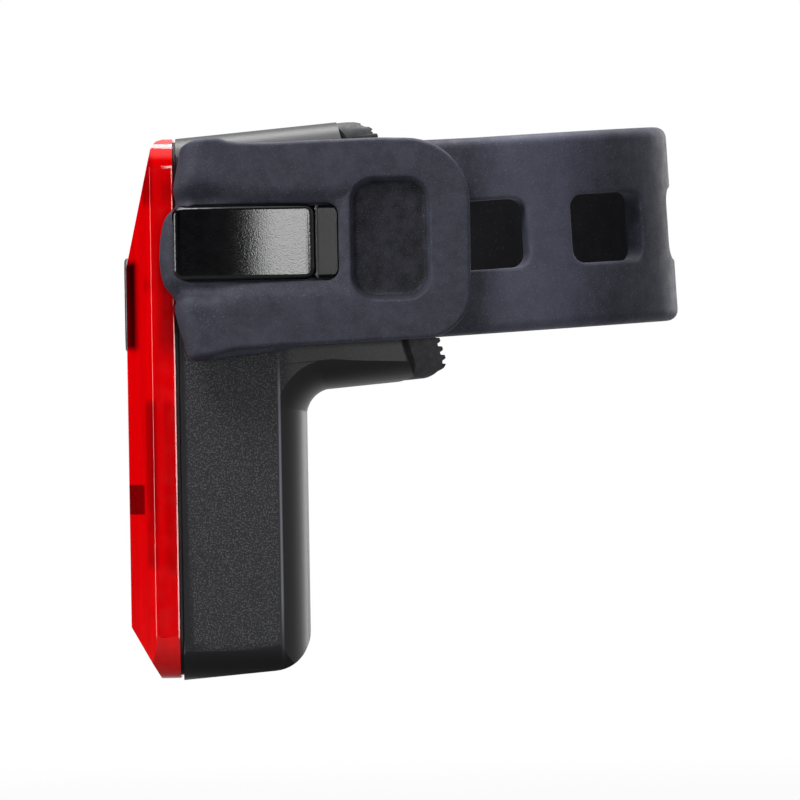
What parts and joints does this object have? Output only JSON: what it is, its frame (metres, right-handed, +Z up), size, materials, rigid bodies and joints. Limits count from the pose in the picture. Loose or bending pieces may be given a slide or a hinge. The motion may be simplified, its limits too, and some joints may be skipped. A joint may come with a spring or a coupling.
{
  "type": "bike rear light",
  "caption": "Red bike rear light with a faceted lens, matte black housing, press button and a silicone ladder strap that clamps a ribbed saddle to a round seatpost.",
  "frame": {"origin": "on the seatpost's axis, at the middle of the saddle", "axes": "-X the way the lens faces, +Z up, -Y the side with the hook that holds the strap's free end"},
  "size_m": [0.0656, 0.0417, 0.0655],
  "materials": {
    "housing_black": "fine spark-eroded matte",
    "lens_red": "clear gloss",
    "seal_grey": "matte",
    "button_grey": "satin",
    "switch_metal": "satin",
    "window_dark": "smoked gloss",
    "reflector_white": "gloss",
    "led_body": "gloss",
    "board_green": "solder mask",
    "chip_black": "matte",
    "screw_steel": "zinc plated",
    "cell_foil": "foil pouch",
    "foam_grey": "open foam",
    "lead_red": "satin",
    "socket_steel": "bright",
    "cover_silicone": "matte silicone",
    "hook_black": "gloss with a fine grain",
    "pad_rubber": "matte",
    "strap_silicone": "matte silicone"
  },
  "bodies": {
    "light": {"rear_housing": "housing_black", "lens": "lens_red", "lens_seal": "seal_grey", "tact_switch": "switch_metal", "indicator_window": "window_dark", "indicator_led": "led_body", "reflector": "reflector_white", "leds": "led_body", "circuit_board": "board_green", "driver_chips": "chip_black", "board_screws": "screw_steel", "battery_cell": "cell_foil", "battery_foam": "foam_grey", "battery_leads": "lead_red", "usb_socket": "socket_steel", "cover_anchor": "cover_silicone", "near_hook": "hook_black", "far_hook": "hook_black", "saddle_pad": "pad_rubber", "strap_loop": "strap_silicone", "strap_fold": "strap_silicone"},
    "button": {"mode_button": "button_grey", "switch_plunger": "chip_black"},
    "cover": {"port_cover": "cover_silicone"},
    "tail": {"strap_tail": "strap_silicone"}
  },
  "joints": [
    {"name": "button_press", "type": "slide", "parent": "light", "child": "button", "axis": [1, 0, 0], "range_m": [0, 0.0006], "stiffness_N_per_m": 1500},
    {"name": "cover_swing", "type": "hinge", "parent": "light", "child": "cover", "pos_m": [-0.03015, 0.00685, -0.05112], "axis": [0.9962, 0, 0.0872], "range_deg": [0, 110]},
    {"name": "tail_peel", "type": "hinge", "parent": "light", "child": "tail", "pos_m": [-0.0332, -0.0181, 0], "axis": [0, 0, -1], "range_deg": [0, 180], "deforming": ["strap_fold"]}
  ]
}
